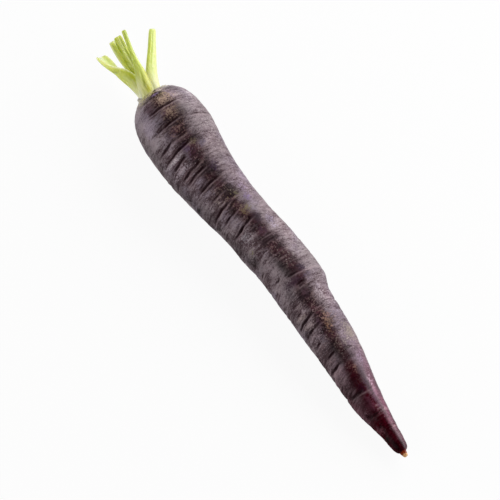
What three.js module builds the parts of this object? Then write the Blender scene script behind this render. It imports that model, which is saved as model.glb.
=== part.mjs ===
// A black carrot lying on its side: one swollen taproot and the trimmed stumps of its leaf stalks.
// Millimetres. The root runs along +X from its crown to its tip, +Z is up, and its belly rests on z = 0.
// Distances along the root are measured from the rim of the crown.
import * as THREE from "three";
import { mergeVertices } from "three/addons/utils/BufferGeometryUtils.js";

// ---- Taproot ----
const ROOT_LENGTH = 215.5;
const ROOT_SIDES = 40;
const ROOT_RINGS = 68;
const DISH_RADIUS = 6.6; // floor of the shallow dish that the leaf stalks stand in
const DISH_DEPTH = 1.3;
const ROOT_COLOR = 0x4a3638;
const ROOT_ROUGHNESS = 0.55;

// [distance from the crown, radius]: the rim of the dish, a round shoulder, a slight waist,
// then a long taper to a snapped tip
const GIRTH = [
  [0.8, 7.0],
  [2.5, 8.9],
  [5.4, 12.3],
  [9.3, 15.0],
  [16, 17.2],
  [26, 18.0],
  [40, 16.9],
  [58, 14.9],
  [82, 13.6],
  [96, 13.8],
  [108, 13.7],
  [121, 13.4],
  [129, 12.4],
  [154, 10.9],
  [170, 9.3],
  [186, 7.25],
  [197, 5.4],
  [204, 4.1],
  [210.5, 3.15],
  [213, 1.7],
  [214.8, 0.9],
];

// [distance from the crown, sideways bend towards +Y]
const SWAY = [
  [0, 0.3],
  [26, 0],
  [46, -0.8],
  [60, 0.1],
  [82, 3.1],
  [107, 5.7],
  [120, 6.2],
  [129, 5.0],
  [154, 4.2],
  [186, 1.9],
  [202, 2.1],
  [215, 1.7],
];

// [distance from the crown, height of the middle]: a little under the radius where the belly presses flat
const HEIGHT = [
  [0, 17.6],
  [26, 17.5],
  [60, 15.1],
  [95, 13.2],
  [119, 12.9],
  [154, 10.5],
  [182, 7.3],
  [202, 5.7],
  [215, 5.0],
];

// How far the root is from round, as a share of its radius, and how that turns for each millimetre along it.
const SWELL = 0.011;
const RING_TURN = 0.23;
const OVAL_TURN = 0.02;

// ---- Leaf stalks ----
const STALK_GAP = 0.3; // clear space between a stalk's foot and the floor of the dish
const STALK_ACROSS = 8; // faces across a stalk, through it, and along it
const STALK_THROUGH = 2;
const STALK_ALONG = 12;
const STALK_ROUGHNESS = 0.5;
const CUT_POWER = 6; // keeps the slant of a cut end out of the rest of its stalk

// Each stalk is a curled blade. Every list follows "up", the height above the crown's rim.
// across and front place its middle (towards +Y and +Z), halfWidth and halfThick size its section,
// curl is half the angle of its arc, opens is the way its hollow side looks, in degrees from +Y to +Z,
// and slant is how far the cut end rises for each millimetre towards +Y.
const STALKS = [
  {
    name: "leaf_stalk_front",
    color: 0xbfc860,
    slant: -0.2,
    up: [-1, 4, 8, 11, 14.5, 19, 26, 33.3],
    across: [-1.6, -0.9, 0.2, 1.1, 2.0, 2.9, 4.5, 6.3],
    front: [3.3, 3.6, 4.0, 4.2, 4.5, 4.9, 5.4, 5.9],
    halfWidth: [4.1, 4.1, 3.5, 2.9, 2.0, 1.4, 1.15, 1.15],
    halfThick: [0.9, 1.0, 1.15, 1.2, 1.2, 1.15, 1.1, 1.05],
    opens: [-80, -80, -82, -84, -86, -88, -90, -90],
    curl: [0.9, 0.85, 0.75, 0.6, 0.45, 0.35, 0.3, 0.3],
  },
  {
    name: "leaf_stalk_left",
    color: 0xb4bf52,
    slant: 0,
    up: [-1, 5, 10, 14, 17, 20, 25, 30.3],
    across: [-3.5, -3.6, -4.0, -5.1, -6.6, -8.2, -9.6, -10.3],
    front: [-0.3, -0.2, -0.1, 0, 0, -0.1, -0.3, -0.6],
    halfWidth: [3.2, 3.5, 3.8, 4.0, 4.1, 4.4, 4.6, 3.7],
    halfThick: [0.7, 0.75, 0.85, 0.9, 1.0, 1.1, 1.0, 0.8],
    opens: [-56, -56, -58, -55, -34, 10, 40, 54],
    curl: [0.85, 0.85, 0.85, 0.9, 1.0, 1.1, 1.15, 1.15],
  },
  {
    name: "leaf_stalk_inner_left",
    color: 0xaebc4a,
    slant: 0,
    up: [-1, 6, 12, 20, 25, 30, 35.8],
    across: [-0.6, -0.5, -0.4, -0.5, -0.6, -0.35, 0.25],
    front: [-5.1, -5.2, -5.2, -5.3, -5.4, -5.4, -5.5],
    halfWidth: [1.6, 1.65, 1.7, 1.75, 1.8, 1.8, 1.75],
    halfThick: [0.95, 1.05, 1.1, 1.2, 1.25, 1.25, 1.2],
    opens: [80, 80, 80, 80, 80, 80, 80],
    curl: [0.3, 0.3, 0.3, 0.3, 0.3, 0.3, 0.3],
  },
  {
    name: "leaf_stalk_inner_right",
    color: 0xa6b83c,
    slant: 0.1,
    up: [-1, 6, 14, 20.5, 26, 31, 35.3],
    across: [0.7, 0.8, 0.9, 1.2, 1.7, 2.5, 3.2],
    front: [-2.8, -2.7, -2.6, -2.5, -2.4, -2.4, -2.4],
    halfWidth: [1.6, 1.8, 2.1, 2.3, 2.5, 2.5, 2.3],
    halfThick: [0.8, 0.95, 1.05, 1.15, 1.2, 1.2, 1.15],
    opens: [75, 75, 75, 72, 70, 70, 70],
    curl: [0.5, 0.5, 0.55, 0.6, 0.65, 0.7, 0.7],
  },
  {
    name: "leaf_stalk_right",
    color: 0xdde79a,
    slant: -0.6,
    up: [-1, 5, 10, 15, 20, 25, 28],
    across: [3.8, 5.2, 7.2, 10.4, 13.9, 17.3, 19.4],
    front: [0, 0.1, 0.2, 0.3, 0.4, 0.5, 0.6],
    halfWidth: [2.5, 3.2, 3.5, 3.1, 2.5, 1.95, 1.5],
    halfThick: [0.85, 1.1, 1.4, 1.55, 1.5, 1.4, 1.3],
    opens: [245, 245, 245, 245, 242, 240, 240],
    curl: [0.75, 0.6, 0.45, 0.35, 0.3, 0.3, 0.3],
  },
  {
    name: "dried_leaf_scale",
    color: 0x9b9388,
    slant: 0,
    up: [-1, 0.2, 1.8],
    across: [-6.0, -6.2, -6.9],
    front: [0.5, 0.5, 0.6],
    halfWidth: [1.0, 1.1, 0.6],
    halfThick: [0.28, 0.26, 0.22],
    opens: [0, 0, 0],
    curl: [0.3, 0.3, 0.3],
  },
];

// A smooth curve through values at given positions, as a function of position.
function smoothCurve(positions, values) {
  const curve = new THREE.CubicInterpolant(positions, values, 1);
  return (at) => curve.evaluate(at)[0];
}

function curveThrough(knots) {
  return smoothCurve(
    knots.map((knot) => knot[0]),
    knots.map((knot) => knot[1]),
  );
}

const swayAt = curveThrough(SWAY);
const heightAt = curveThrough(HEIGHT);

// Half of the root's outline, from the middle of the dish to the end of the tip.
function rootOutline() {
  const dish = [
    new THREE.Vector2(0, DISH_DEPTH),
    new THREE.Vector2(DISH_RADIUS / 2, DISH_DEPTH),
    new THREE.Vector2(DISH_RADIUS, DISH_DEPTH),
  ];
  const side = new THREE.CatmullRomCurve3(
    GIRTH.map(([along, radius]) => new THREE.Vector3(radius, along, 0)),
    false,
    "centripetal",
  );
  const skin = side.getSpacedPoints(ROOT_RINGS).map((point) => new THREE.Vector2(point.x, point.y));
  return [...dish, ...skin, new THREE.Vector2(0, ROOT_LENGTH)];
}

// Swellings that run round and along the root, as a share of the radius.
function swelling(along, angle) {
  const rings = Math.sin(along * RING_TURN + Math.cos(angle)) / 2;
  const oval = Math.cos(2 * angle + along * OVAL_TURN);
  return 1 + SWELL * (rings + oval);
}

function taproot() {
  const geometry = new THREE.LatheGeometry(rootOutline(), ROOT_SIDES);
  const position = geometry.getAttribute("position");
  for (let i = 0; i < position.count; i++) {
    const along = position.getY(i);
    const angle = Math.atan2(position.getX(i), position.getZ(i));
    const swell = along > DISH_DEPTH ? swelling(along, angle) : 1;
    const y = swayAt(along) + position.getZ(i) * swell;
    const z = heightAt(along) + position.getX(i) * swell;
    position.setXYZ(i, along, y, Math.max(z, 0));
  }
  return geometry;
}

// A square's point moved to its place on a disc.
function squareToDisc(x, y) {
  return [x * Math.sqrt(1 - (y * y) / 2), y * Math.sqrt(1 - (x * x) / 2)];
}

// A point of a stalk's section, from its place on a disc: a blade bent to an arc that opens one way.
function sectionPoint(x, y, halfWidth, halfThick, curl, opens) {
  const arcRadius = halfWidth / curl;
  const turn = x * curl;
  const thick = y * halfThick;
  const chord = (arcRadius - thick) * Math.sin(turn);
  const rise = arcRadius - (arcRadius - thick) * Math.cos(turn);
  return [
    rise * Math.cos(opens) - chord * Math.sin(opens),
    rise * Math.sin(opens) + chord * Math.cos(opens),
  ];
}

function leafStalk(stalk) {
  const curve = (key) => smoothCurve(stalk.up, stalk[key]);
  const across = curve("across");
  const front = curve("front");
  const halfWidth = curve("halfWidth");
  const halfThick = curve("halfThick");
  const curl = curve("curl");
  const opens = curve("opens");
  const foot = STALK_GAP - DISH_DEPTH;
  const top = stalk.up[stalk.up.length - 1];

  const geometry = new THREE.BoxGeometry(2, 2, 1, STALK_ACROSS, STALK_THROUGH, STALK_ALONG);
  const position = geometry.getAttribute("position");
  for (let i = 0; i < position.count; i++) {
    const share = position.getZ(i) + 0.5;
    const up = foot + share * (top - foot);
    const [x, y] = squareToDisc(position.getX(i), position.getY(i));
    const [dy, dz] = sectionPoint(
      x,
      y,
      halfWidth(up),
      halfThick(up),
      curl(up),
      THREE.MathUtils.degToRad(opens(up)),
    );
    const cut = stalk.slant * dy * share ** CUT_POWER;
    position.setXYZ(i, -(up + cut), swayAt(0) + across(up) + dy, heightAt(0) + front(up) + dz);
  }
  return geometry;
}

const MERGE_DISTANCE = 1e-4;

// One named piece, with its seams closed so that it is one skin.
function piece(name, geometry, color, roughness) {
  geometry.deleteAttribute("normal");
  geometry.deleteAttribute("uv");
  const closed = mergeVertices(geometry, MERGE_DISTANCE);
  closed.computeVertexNormals();
  const mesh = new THREE.Mesh(
    closed,
    new THREE.MeshStandardMaterial({ color, roughness, metalness: 0 }),
  );
  mesh.name = name;
  return mesh;
}

const carrot = new THREE.Group();
carrot.add(piece("taproot", taproot(), ROOT_COLOR, ROOT_ROUGHNESS));
for (const stalk of STALKS) {
  carrot.add(piece(stalk.name, leafStalk(stalk), stalk.color, STALK_ROUGHNESS));
}

// The middle of the whole thing stands over the origin.
const bounds = new THREE.Box3().setFromObject(carrot, true);
const middle = bounds.getCenter(new THREE.Vector3());
carrot.position.set(-middle.x, -middle.y, -bounds.min.z);

const blackCarrot = new THREE.Group();
blackCarrot.add(carrot);

export default blackCarrot;
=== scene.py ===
import math
import random

import bmesh
import bpy
import numpy as np
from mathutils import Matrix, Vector, noise


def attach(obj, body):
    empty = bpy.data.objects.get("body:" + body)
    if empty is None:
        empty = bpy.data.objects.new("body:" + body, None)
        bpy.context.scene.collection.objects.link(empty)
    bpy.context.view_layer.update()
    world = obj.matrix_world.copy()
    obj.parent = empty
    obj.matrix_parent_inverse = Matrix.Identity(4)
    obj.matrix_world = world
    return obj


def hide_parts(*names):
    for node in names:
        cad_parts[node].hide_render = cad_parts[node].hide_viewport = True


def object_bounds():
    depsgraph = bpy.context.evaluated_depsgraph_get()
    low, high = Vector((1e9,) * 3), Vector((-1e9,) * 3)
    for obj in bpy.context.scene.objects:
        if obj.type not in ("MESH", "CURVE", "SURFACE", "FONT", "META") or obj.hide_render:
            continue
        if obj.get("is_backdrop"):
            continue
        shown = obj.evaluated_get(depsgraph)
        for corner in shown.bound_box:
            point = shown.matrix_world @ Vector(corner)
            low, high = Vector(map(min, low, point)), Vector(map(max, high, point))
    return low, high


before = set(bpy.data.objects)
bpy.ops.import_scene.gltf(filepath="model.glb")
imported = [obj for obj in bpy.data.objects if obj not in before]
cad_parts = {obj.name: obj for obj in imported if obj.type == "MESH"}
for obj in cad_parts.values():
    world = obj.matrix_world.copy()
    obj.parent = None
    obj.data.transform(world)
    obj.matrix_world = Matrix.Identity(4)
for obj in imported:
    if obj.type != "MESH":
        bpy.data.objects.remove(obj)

mm = 0.001
scene = bpy.context.scene
scene.view_settings.view_transform = "Standard"
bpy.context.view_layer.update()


# Camera, lights and floor

cameraLook = {
    "azimuth": 55.9,  # degrees round the carrot, 0 looks along +Y
    "elevation": 73.0,
    "distance": 1000,
    "lens": 150,
    "sensor": 36,
    "aim": (2.4, -5.0, -4.1),  # from the middle of the carrot's box
}

lightLook = {
    # where each lamp stands, its width and depth, its power
    "right": {"place": (0, 800, 430), "size": (2400, 800), "watts": 22},
    "left": {"place": (-500, -800, 430), "size": (1700, 800), "watts": 6.6},
    "roomLevel": 0.06,
}


def makeCamera(look):
    low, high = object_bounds()
    aim = (low + high) / 2 + Vector(look["aim"]) * mm
    turn, up = math.radians(look["azimuth"]), math.radians(look["elevation"])
    back = Vector((math.sin(turn) * math.cos(up), -math.cos(turn) * math.cos(up), math.sin(up)))
    camera = bpy.data.objects.new("camera", bpy.data.cameras.new("camera"))
    scene.collection.objects.link(camera)
    camera.data.sensor_width = look["sensor"]
    camera.data.lens = look["lens"]
    camera.data.clip_start = 10 * mm
    camera.location = aim + back * look["distance"] * mm
    camera.rotation_euler = (-back).to_track_quat("-Z", "Y").to_euler()
    scene.camera = camera


def makeLamp(name, look):
    lamp = bpy.data.lights.new(name, "AREA")
    lamp.shape = "RECTANGLE"
    lamp.size, lamp.size_y = look["size"][0] * mm, look["size"][1] * mm
    lamp.energy = look["watts"]
    holder = bpy.data.objects.new(name, lamp)
    scene.collection.objects.link(holder)
    holder.location = Vector(look["place"]) * mm
    facing = Vector((0, -holder.location.y, -holder.location.z))
    holder.rotation_euler = facing.to_track_quat("-Z", "Y").to_euler()


class Wire:
    # a shader socket that can be used in sums
    def __init__(self, paint, socket):
        self.paint = paint
        self.socket = socket

    def __add__(self, other):
        return self.paint.maths("ADD", self, other)

    def __radd__(self, other):
        return self.paint.maths("ADD", other, self)

    def __sub__(self, other):
        return self.paint.maths("SUBTRACT", self, other)

    def __rsub__(self, other):
        return self.paint.maths("SUBTRACT", other, self)

    def __mul__(self, other):
        return self.paint.maths("MULTIPLY", self, other)

    def __rmul__(self, other):
        return self.paint.maths("MULTIPLY", other, self)


class Paint:
    # one material's nodes, or the world's
    def __init__(self, owner):
        owner.use_nodes = True
        self.tree = owner.node_tree
        self.tree.nodes.clear()

    def node(self, kind, settings, sockets, output=0):
        # a node of any kind, with its settings and its sockets' values or wires
        made = self.tree.nodes.new("ShaderNode" + kind)
        for name, value in settings.items():
            setattr(made, name, value)
        for name, value in sockets.items():
            if isinstance(name, int):
                socket = made.inputs[name]
            else:
                socket = next(s for s in made.inputs if s.enabled and s.name == name)
            if isinstance(value, Wire):
                self.tree.links.new(value.socket, socket)
            else:
                socket.default_value = value
        shown = [s for s in made.outputs if s.enabled]
        return Wire(self, shown[output]) if shown else None

    def maths(self, operation, *values):
        return self.node("Math", {"operation": operation}, dict(enumerate(values)))

    def ease(self, value, low, high):
        # 0 below low, 1 above high, smooth between
        settings = {"interpolation_type": "SMOOTHSTEP"}
        return self.node("MapRange", settings, {"Value": value, "From Min": low, "From Max": high})

    def mix(self, share, first, second, how="MIX"):
        settings = {"data_type": "RGBA", "blend_type": how}
        return self.node("Mix", settings, {"Factor": share, "A": first, "B": second})

    def attribute(self, name, output=2):
        return self.node("Attribute", {"attribute_name": name}, {}, output)

    def noise(self, place, scale, detail=2.0, roughness=0.5, distortion=0.0):
        sockets = {"Vector": place, "Scale": scale, "Detail": detail}
        sockets.update({"Roughness": roughness, "Distortion": distortion})
        return self.node("TexNoise", {}, sockets)

    def lines(self, place, stretch, *kind):
        # noise drawn out one way
        drawn = self.node("VectorMath", {"operation": "MULTIPLY"}, {0: place, 1: stretch})
        return self.noise(drawn, *kind)

    def bump(self, height, strength, depth):
        sockets = {"Height": height, "Strength": strength, "Distance": depth * mm}
        return self.node("Bump", {}, sockets)


def colour(red, green, blue):
    # a colour as a screen shows it, 0 to 255, turned into the linear one that shaders use
    shares = [channel / 255 for channel in (red, green, blue)]
    linear = [c / 12.92 if c <= 0.04045 else ((c + 0.055) / 1.055) ** 2.4 for c in shares]
    return (*linear, 1.0)


def makeWorld(look):
    world = bpy.data.worlds.new("room")
    scene.world = world
    paint = Paint(world)
    rays = paint.node("LightPath", {}, {})
    seen = paint.node("Background", {}, {"Color": (1, 1, 1, 1), "Strength": 1.0})
    level = paint.node("Background", {}, {"Color": (1, 1, 1, 1), "Strength": look["roomLevel"]})
    both = paint.node("MixShader", {}, {0: rays, 1: level, 2: seen})
    paint.node("OutputWorld", {}, {"Surface": both})


floorLook = {
    "half": 3000,
    "card": 0.93,  # how much of the floor the camera sees as plain white, the rest shows the shadow
    "grey": (0.86, 0.86, 0.86, 1),
}


def makeFloor(look):
    bm = bmesh.new()
    bmesh.ops.create_grid(bm, x_segments=1, y_segments=1, size=look["half"] * mm)
    mesh = bpy.data.meshes.new("floor")
    bm.to_mesh(mesh)
    bm.free()
    floor = bpy.data.objects.new("floor", mesh)
    scene.collection.objects.link(floor)
    material = bpy.data.materials.new("white_card")
    paint = Paint(material)
    rays = paint.node("LightPath", {}, {})
    lit = paint.node("BsdfDiffuse", {}, {"Color": look["grey"]})
    shown = paint.node("Emission", {}, {"Color": (1, 1, 1, 1), "Strength": 1.0})
    both = paint.node("MixShader", {}, {0: rays * look["card"], 1: lit, 2: shown})
    paint.node("OutputMaterial", {}, {"Surface": both})
    mesh.materials.append(material)
    floor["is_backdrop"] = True


makeCamera(cameraLook)
makeLamp("right_softbox", lightLook["right"])
makeLamp("left_softbox", lightLook["left"])
makeWorld(lightLook)
makeFloor(floorLook)
print("studio ready")


# Helpers for every piece

def curve(places, values):
    # a smooth curve through the values, as a function of place
    places, values = np.array(places, float), np.array(values, float)
    slopes = np.gradient(values, places)

    def at(where):
        where = np.clip(where, places[0], places[-1])
        left = np.clip(np.searchsorted(places, where) - 1, 0, len(places) - 2)
        span = places[left + 1] - places[left]
        t = (where - places[left]) / span
        start = values[left] * (1 + 2 * t) * (1 - t) ** 2 + slopes[left] * span * t * (1 - t) ** 2
        end = values[left + 1] * t * t * (3 - 2 * t) + slopes[left + 1] * span * t * t * (t - 1)
        return start + end

    return at


def ease(value, low, high):
    # 0 at low, 1 at high, smooth between
    t = np.clip((value - low) / (high - low), 0, 1)
    return t * t * (3 - 2 * t)


def softNoise(points, size, seed):
    # noise from -1 to 1 with bumps about `size` millimetres across
    shift = Vector((seed * 7.31, seed * 3.17, seed * 5.73))
    return np.array([noise.noise(Vector(p) / size + shift) for p in points])


def getPoints(mesh):
    points = np.empty(len(mesh.vertices) * 3)
    mesh.vertices.foreach_get("co", points)
    return points.reshape(-1, 3) / mm


def setPoints(mesh, points):
    mesh.vertices.foreach_set("co", (points * mm).ravel())
    mesh.update()


def keepInBox(points):
    low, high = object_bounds()
    return np.clip(points, np.array(low) / mm, np.array(high) / mm)


def store(mesh, name, values):
    layer = mesh.attributes.new(name, "FLOAT", "POINT")
    layer.data.foreach_set("value", values)


def storeColour(mesh, name, colours):
    layer = mesh.attributes.new(name, "FLOAT_COLOR", "POINT")
    layer.data.foreach_set("color", colours.ravel())


def finishPiece(name, mesh, material, node):
    piece = bpy.data.objects.new(name, mesh)
    scene.collection.objects.link(piece)
    mesh.materials.append(material)
    mesh.shade_smooth()
    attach(piece, "root")
    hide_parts(node)


# Taproot

rootLook = {
    "rings": 690,
    "sides": 140,
    # the dish that the stalks stand in
    "dishRadius": 5.6,
    "dishDepth": 1.2,
    "dishSteps": (0, 0.3, 0.6, 0.85, 0.97),
    # distance from the crown, and radius
    "rim": [(0.9, 6.2), (0.55, 6.7), (0.5, 7.1), (0.75, 7.7), (1.2, 8.35), (1.9, 9.2)],
    "rimInset": 0.8,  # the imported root's rim stands this far in from where distances count from
    "rimDrop": 1.0,  # how much farther along the root the rim lies where the front stalk stands
    "dropAngle": -10,  # where that is, in degrees
    "dropFade": (1.2, 9),
    "dropFrom": (2, 6),  # over this stretch of the radius
    "rimNotch": 0.35,  # how far the rim's rough edge is eaten away
    "notchFrom": (5.8, 6.6),
    "crownSway": 0.3,  # how far the crown leans to +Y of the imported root
    "swayFade": (6, 24),
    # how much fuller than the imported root: where, and by how much
    "shoulder": ([0, 3, 5, 9, 14, 20], [0.8, 0.7, 0.5, 0.27, 0.15, 0]),
    "cadFrom": 3.2,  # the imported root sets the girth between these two
    "cadTo": 203.0,
    # distance from the crown, and radius
    "tip": [
        (204.0, 4.3), (207.5, 3.85), (210.4, 3.35), (211.4, 3.0), (212.1, 2.55), (212.55, 2.0),
        (212.9, 1.7), (213.5, 1.5), (214.4, 1.3), (215.0, 1.05), (215.3, 0.8),
    ],
    "nubFrom": (212.4, 213.2),  # where the snapped end begins
    "nubSway": -0.25,
    "endRadius": 0.4,
    "length": 215.4,
    # height, size and seed of each kind of bump
    "lumps": [(0.30, 14, 1), (0.12, 5, 2)],
    "lumpsSink": 0.02,
    "wrinkles": [(0.08, 1.3, 3), (0.08, 2.6, 4)],
    "wrinkleFlow": 0.22,  # how little they change round the root
    "wrinklesFrom": (0.8, 4),
    "wrinkleEnds": 0.3,  # their share at both ends
    "wobble": [(0.3, 4, 5)],  # how rings stray along the root
    "wobbleFlow": (0.2, 1, 1),
    "ragged": [(1, 3, 6)],  # how creases come and go
    "raggedFlow": (0.4, 1, 1),
    "rough": [(1, 1.1, 9)],
    "roughCrown": 0.3,
    "roughCrownTo": (2, 7),
    "roughCrownFrom": (5.8, 6.8),  # over this stretch of the radius
    "roughNub": 0.3,
    # creases and swellings come in over the first stretch and fade over the second
    "plainCrown": (1.5, 8),
    "plainTip": (214.5, 207.5),
    "sweep": 2.8,  # how much farther towards the tip the rings lie on the sides than in front
    "sweepFace": 10,  # the angle that is the rings' front, degrees
    "litFrom": (0, 0.6),  # the lit side comes in between these sines of the angle
    # thinner lines beside the deep creases, and short fine ones all round
    "fine": {
        "seed": 11,
        "beside": [(-1.6, -1.0), (1.2, 2.0)],  # where thinner lines run beside each deep crease
        "besideTurn": (-12, 8),
        "besideLength": (0.6, 1.1),  # as shares of the deep crease
        "besideDepth": (0.2, 0.4),
        "count": 190,  # short fine lines, strewn all round
        "places": (8, 206),
        "halves": (8, 30),
        "depth": (0.05, 0.32),
        "facing": 75,  # degrees each side of the front where they stay shallow
        "facingDepth": 0.2,
        "facingTo": 180,  # beyond this the front has its own marks only
        "lean": 0.8,
    },
    # the creases' section
    "groove": {
        "deepen": 1.6,  # times the listed depth
        # depth and width of the sharp cut, then of the soft hollow
        "cuts": [(0.6, 0.42), (0.5, 1.5)],
        "lip": (0.25, 1.4, 0.7),  # how high, how far towards the tip, how wide
        # painted highlight along each crease's lip
        "lipHighlight": (0.75, 1.15, 0.4),  # how strong, how far, how wide
        # width of the painted shade in the hollow beside each crease
        "valleyShade": 1.3,
        "fullDepth": 0.38,  # a crease this deep has marks of strength 1
        "strongest": 1.4,
        "ragged": 0.6,  # how much each crease comes and goes along its arc
        "reach": 5,
        # the dark crease line's width at no depth, its gain with depth, and the depth where that
        # stops; the line is part dirt and part painted shade
        "creaseDirtAndShade": (0.4, 0.6, 0.7),
        "ridge": 0.42,  # width of the pale rings
        "ridgeRagged": (0.9, 0.8),
        "ridgePale": 0.9,
        "thinFrom": 175,  # the thin end has weaker pale lines
        "thinLip": 0.3,
        "thinRidgePale": 0.55,
    },
    # the grey bloom, rubbed off along one strip and thin at the back; where it shows, the lighter
    # sides are partly painted sheen of the two lamps, and the darker strip, which faces the camera
    # between them, is partly painted shade
    "bloomAndSheen": {
        "strip": -9.7,  # the angle of the rubbed strip, which is partly painted shade
        "edge": [(5, 4, 7)],  # how many degrees the strip's edges wander, size, seed
        "longEdge": [(9, 18, 8)],
        # degrees from the strip over which the bloom comes in again, and how much of it
        "right": (10, 42),
        "left": (-8, 24),
        "leftShare": 0.95,
        "back": (100, 140),
        "backLoss": 0.25,
        # towards the tip it thins out on each side
        "tip": (140, 190),
        "rightTipLoss": 0.35,
        "leftTipLoss": 0.5,
        "end": (190, 206),
        "leftEndLoss": 0.8,
    },
    "skin": {
        "colours": {
            # the grey bloom and the gaps in it, on the sheltered side and on the lit side; the
            # sheltered copies are painted lighter than the lit ones, which is painted light
            "bloomAndSheen": (171, 153, 159),
            "bloomLit": (148, 133, 138),
            "bloomGap": (72, 50, 56),
            "bloomGapLit": (50, 23, 33),
            "violet": (148, 134, 154),
            "tipBloom": (140, 108, 119),
            "tipBloomLit": (126, 84, 103),
            "tipGap": (40, 8, 18),
            # the strip without bloom, darker partly as painted shade
            "rubbedAndShaded": (70, 38, 46),
            "rubbedAndShadedGap": (22, 0, 5),
            "tipRubbedAndShaded": (66, 6, 20),
            "tipRubbedAndShadedGap": (38, 0, 6),
            "cork": (128, 106, 101),
            # painted highlight on the crease lips, also used on the paler raised rings
            "lip": (150, 128, 132),
            # the crease lines' colour, part dirt and part painted shade
            "seamDirtAndShade": (32, 10, 16),
            "snapped": (226, 176, 124),
            "snappedEdge": (120, 40, 14),
        },
        "tip": (142, 188),  # where the wine-red end comes in
        "nub": (212.3, 213.0),
        "nubFlesh": (213.6, 214.8),
        # lines round the root: how they stretch, scale, detail, roughness and distortion
        "lines": {
            "striae": ((1, 0.2, 0.2), 900, 3, 0.6, 0.3),
            "threads": ((1, 0.35, 0.35), 1900, 2, 0.6),
            "patches": ((1, 0.45, 0.45), 260, 3, 0.6, 0.5),
            "smears": ((1, 0.4, 0.4), 110, 2, 0.5, 0.3),
        },
        # grains without a direction: scale, detail and roughness
        "grains": {"speckle": (1500, 2, 0.7), "grit": (1050, 2, 0.6), "cloud": (60, 3, 0.5)},
        # how much each shows in the lightness of the skin, and how much less on the lit side
        "tone": {
            "striae": (2.2, 0.9), "threads": (1.7, 0.5), "speckle": (1.5, 0.3),
            "patches": (2.2, 1.3), "smears": (2.6, 1.9),
        },
        "tipTone": 0.55,  # how much evener the end is
        "lipTone": 0.35,
        # how much darker the hollows beside the creases are painted, as painted shade
        "valleyShadeTone": (0.5, 0.5),  # and how much less of it on the lit side
        "violetFrom": (0.42, 0.6),
        "violet": 0.6,
        "corkFrom": (0.51, 0.57),
        "cork": 0.5,
        "stainAndShadingFrom": (0.12, 0.8),
        "lip": 0.6,
        "seamDirtAndShade": 0.9,
        "seamFrom": (0.2, 1.05),
        "matt": {"rubbedAndShaded": 0.7, "gaps": 0.5, "tip": 0.9},
        # how much each grain raises the skin, and how much less at the end and on the lit side
        "relief": {"striae": 0.5, "threads": 0.3, "speckle": 0.35, "patches": 0.6},
        "tipRelief": 0.88,
        "litRelief": 0.25,
        "bump": 1.4,
        "roughness": 0.35,
        "tipGloss": 0.12,  # the end is this much smoother
        "glossTint": (1, 0.87, 0.92, 1),
    },
    # each crease: distance from the crown, middle and half of its arc in degrees, depth, slant
    # (angles count from straight up, towards +Y)
    "creases": [
        (13.9, -6, 40, 0.6, 1), (15.2, -24, 24, 0.3, 0), (23.3, -16, 32, 0.62, -1.3),
        (25.2, 42, 34, 0.4, 3.8), (24.6, -15, 16, 0.25, -0.2), (31.4, -6, 14, 0.4, 0),
        (32.2, -40, 30, 0.75, -2.3), (33.2, -44, 14, 0.35, -0.6), (35.8, -38, 18, 0.3, -1),
        (37, -30, 40, 0.65, -3.2), (42.1, -38, 28, 0.75, -3.2), (48, -28, 32, 0.6, -3.3),
        (50.8, -24, 34, 0.65, -3.1), (57.9, -18, 36, 0.8, -2.5), (64.8, -18, 26, 0.35, -2.2),
        (71.6, -34, 40, 0.55, -4.6), (76.5, -30, 38, 0.42, -4), (84.2, -28, 42, 0.68, -5.2),
        (93.3, 6, 30, 0.3, -0.2), (96.3, 0, 18, 0.15, 0), (106.1, -6, 16, 0.3, 0),
        (107.4, -70, 16, 0.4, -2.6), (114.8, -41, 9, 0.45, -1.2), (116.3, -12, 16, 0.25, 0),
        (121.7, -4, 13, 0.5, -0.2), (122.9, -4, 13, 0.4, -0.2), (129.2, -40, 16, 0.3, -1),
        (133.5, -46, 18, 0.35, -1.2), (134.8, 6, 12, 0.25, 0), (137.9, -46, 44, 0.75, -3.6),
        (143.3, -46, 44, 0.8, -3), (150.6, -52, 18, 0.35, -1.2), (157.9, -42, 32, 0.5, -1.6),
        (163.9, -44, 32, 0.5, -1.8), (179.4, -34, 34, 0.55, 0), (180.3, 20, 12, 0.25, 0),
        (191.8, -10, 52, 0.35, 0.6), (197.6, -36, 14, 0.3, -0.6),
    ],
    # pale raised rings, listed the same way
    "ridges": [
        (117.9, 12, 66, 0.25, 3),
        (180.8, -10, 58, 0.14, 0.6),
        (192.2, 34, 34, 0.14, 0.5),
        (190.4, 14, 12, 0.06, 0.3),
        (188.6, 10, 10, 0.05, 0),
    ],
    # broad low swellings: distance, angle, half length, half angle, height
    "swellings": [
        (47, 84, 12, 40, 0.25),
        (76, -96, 14, 44, 0.3),
        (99, 84, 10, 40, 0.3),
        (116, -96, 7, 40, 0.25),
        (123.5, 80, 4, 34, 0.55),
        (154, 84, 7, 40, 0.3),
        (188, -96, 8, 44, 0.45),
    ],
    # broad patches painted lighter or darker, partly the skin's own patches and partly painted
    # light and shade, such as the darker far edge of the sheltered side and the lighter lit side
    # near the tip: distance, angle, half length, half angle, change of lightness
    "shades": [
        (12, -76, 9, 18, -0.3), (26, -74, 8, 16, -0.3), (38, -74, 14, 16, -0.38),
        (62, -74, 16, 18, -0.45), (92, -72, 16, 18, -0.42), (140, -72, 9, 14, -0.3),
        (180, -72, 7, 12, 0.4), (10, 2, 5, 16, 0.55), (11, 24, 5, 12, 0.6),
        (9, 60, 6, 12, 0.9), (18, 52, 5, 12, 0.2), (20, 16, 6, 14, -0.6),
        (19, -24, 5, 9, -0.3), (31, 14, 6, 16, -0.4), (40, -38, 5, 10, 0.25),
        (50, -38, 6, 10, 0.45), (54, 8, 10, 10, -0.35), (39, 40, 6, 12, 0.3),
        (50, 34, 5, 10, -0.2), (70, 20, 5, 8, -0.3), (69, -56, 6, 10, -0.25),
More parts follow.
